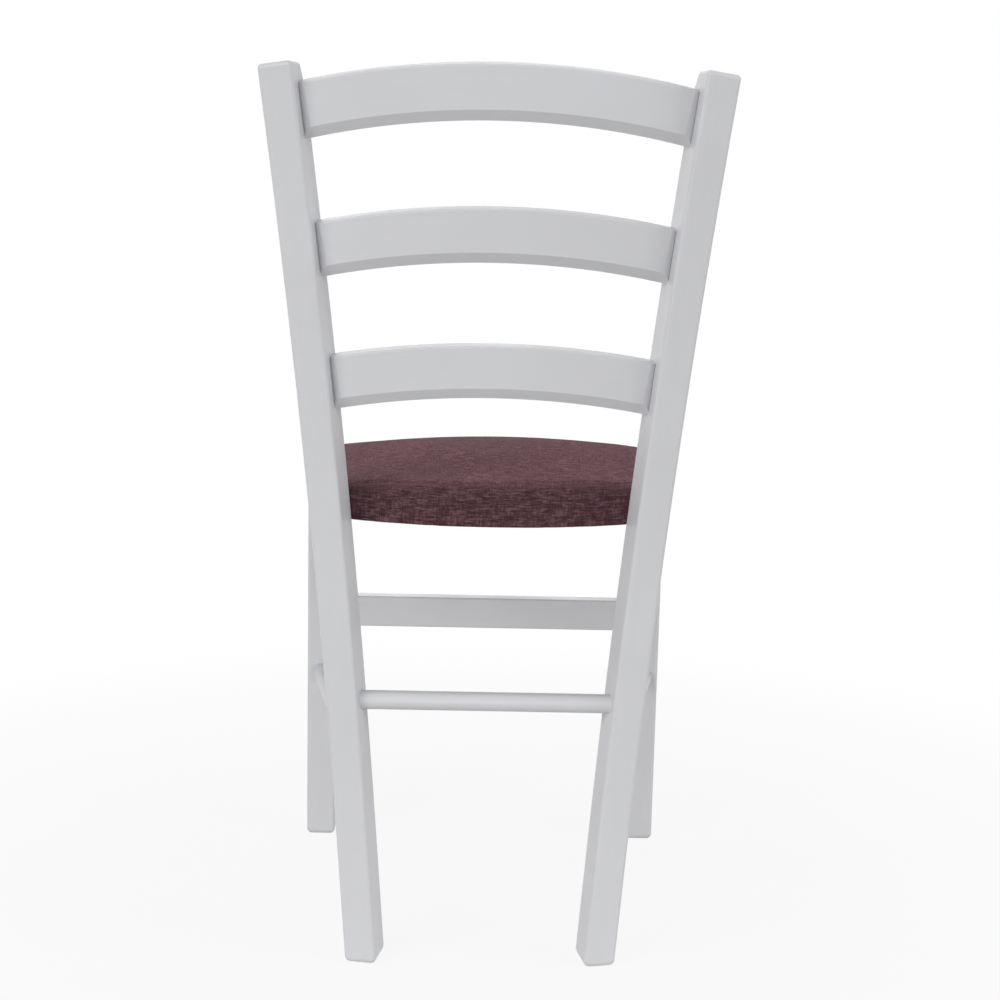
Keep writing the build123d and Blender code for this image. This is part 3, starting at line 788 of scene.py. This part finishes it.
def white_to_camera(tree, lit, white, share):
    """Show white to the camera and in reflections, by its share, and the lit shader to all other light."""
    path = tree.nodes.new("ShaderNodeLightPath")
    seen = tree.math("MAXIMUM", path.outputs["Is Camera Ray"], path.outputs["Is Glossy Ray"])
    seen = tree.math("MAXIMUM", seen, path.outputs["Is Transmission Ray"])
    blend = tree.nodes.new("ShaderNodeMixShader")
    tree.links.new(tree.times(seen, share), blend.inputs[0])
    tree.links.new(lit.outputs[0], blend.inputs[1])
    tree.links.new(white.outputs[0], blend.inputs[2])
    tree.links.new(blend.outputs[0], tree.output.inputs["Surface"])


def floor_material(settings):
    """Pale floor that keeps a faint shadow near the chair and is plain white further off."""
    tree = material_tree("pale_floor")
    place = tree.place()
    away = tree.length(place)
    patches = tree.span(tree.noise(place, scale=3.0), *NOISE_RANGE)
    near = tree.mix(patches, solid(settings.near_floor), solid(settings.mottle))
    lit = tree.nodes.new("ShaderNodeBsdfDiffuse")
    tree.feed(lit.inputs["Color"], tree.mix(tree.span(away, *DARKENING), near, solid(settings.far_floor)))
    white = tree.nodes.new("ShaderNodeEmission")
    white.inputs["Color"].default_value = WHITE
    white.inputs["Strength"].default_value = 1.0
    white_to_camera(tree, lit, white, tree.span(away, *WHITENING, settings.white_share, 1.0))
    return tree.owner


def studio_world(settings):
    """Even light from all round, shown as plain white."""
    tree = Tree(bpy.data.worlds.new("studio"), "ShaderNodeOutputWorld")
    even = tree.nodes.new("ShaderNodeBackground")
    even.inputs["Color"].default_value = solid(settings.sky_colour)
    even.inputs["Strength"].default_value = settings.sky
    white = tree.nodes.new("ShaderNodeBackground")
    white.inputs["Color"].default_value = WHITE
    white_to_camera(tree, even, white, 1.0)
    return tree.owner


def floor_mesh(settings):
    """One wide, level face."""
    ground = bmesh.new()
    bmesh.ops.create_grid(ground, x_segments=1, y_segments=1, size=FLOOR_REACH)
    mesh = bpy.data.meshes.new("floor")
    ground.to_mesh(mesh)
    ground.free()
    mesh.materials.append(floor_material(settings))
    return mesh


def light_panel(name, power, place, size):
    """A large soft light, turned towards the chair."""
    lamp = bpy.data.lights.new(name, "AREA")
    lamp.shape = "DISK"
    lamp.size = size
    lamp.energy = power
    holder = bpy.data.objects.new(name, lamp)
    aim = (Vector(LIGHT_AIM) - Vector(place)).to_track_quat("-Z", "Y")
    holder.matrix_world = Matrix.Translation(place) @ aim.to_matrix().to_4x4()
    bpy.context.scene.collection.objects.link(holder)


def photo_camera(settings):
    """The camera where the photograph was taken, behind the chair."""
    lens = bpy.data.cameras.new("camera")
    lens.lens = settings.focal_length
    lens.sensor_width = SENSOR_WIDTH
    holder = bpy.data.objects.new("camera", lens)
    holder.matrix_world = (
        Matrix.Translation(settings.camera_place)
        @ Matrix.Rotation(math.pi + settings.yaw, 4, "Z")
        @ Matrix.Rotation(math.pi / 2 - settings.pitch, 4, "X")
        @ Matrix.Rotation(settings.roll, 4, "Z")
    )
    bpy.context.scene.collection.objects.link(holder)
    return holder


class CHAIR_OT_set_stage(bpy.types.Operator):
    """Set the floor, the sky, the lights and the camera"""

    bl_idname = "chair.set_stage"
    bl_label = "Set the stage"

    def execute(self, context):
        scene = context.scene
        settings = scene.chair_stage
        scene.view_settings.view_transform = "Standard"
        new_piece("floor", floor_mesh(settings))
        scene.world = studio_world(settings)
        for name, place, size in LIGHTS:
            light_panel(f"{name}_light", getattr(settings, name), place, size)
        scene.camera = photo_camera(settings)
        return {"FINISHED"}


OPERATORS = (CHAIR_OT_lacquer_frame, CHAIR_OT_finish_underside, CHAIR_OT_make_seat, CHAIR_OT_set_stage)


class CHAIR_PT_panel(bpy.types.Panel):
    """Steps and settings of the chair"""

    bl_idname = "CHAIR_PT_panel"
    bl_label = "Chair"
    bl_space_type = "VIEW_3D"
    bl_region_type = "UI"
    bl_category = "Chair"

    def draw(self, context):
        for operator in OPERATORS:
            self.layout.operator(operator.bl_idname)
        for name, group in SETTINGS.items():
            box = self.layout.box()
            box.label(text=group.__doc__)
            for prop in group.__annotations__:
                box.prop(getattr(context.scene, name), prop)


CLASSES = (*SETTINGS.values(), *OPERATORS, CHAIR_PT_panel)


def register():
    """Add the classes, and the settings to the scene."""
    for item in CLASSES:
        bpy.utils.register_class(item)
    for name, group in SETTINGS.items():
        setattr(bpy.types.Scene, name, PointerProperty(type=group))


def unregister():
    """Take the settings and the classes away again."""
    for name in SETTINGS:
        delattr(bpy.types.Scene, name)
    for item in reversed(CLASSES):
        bpy.utils.unregister_class(item)


def main():
    """Finish the frame, make the seat and set the stage."""
    register()
    bpy.ops.chair.lacquer_frame()
    bpy.ops.chair.finish_underside()
    bpy.ops.chair.make_seat()
    bpy.ops.chair.set_stage()


if __name__ == "__main__":
    main()
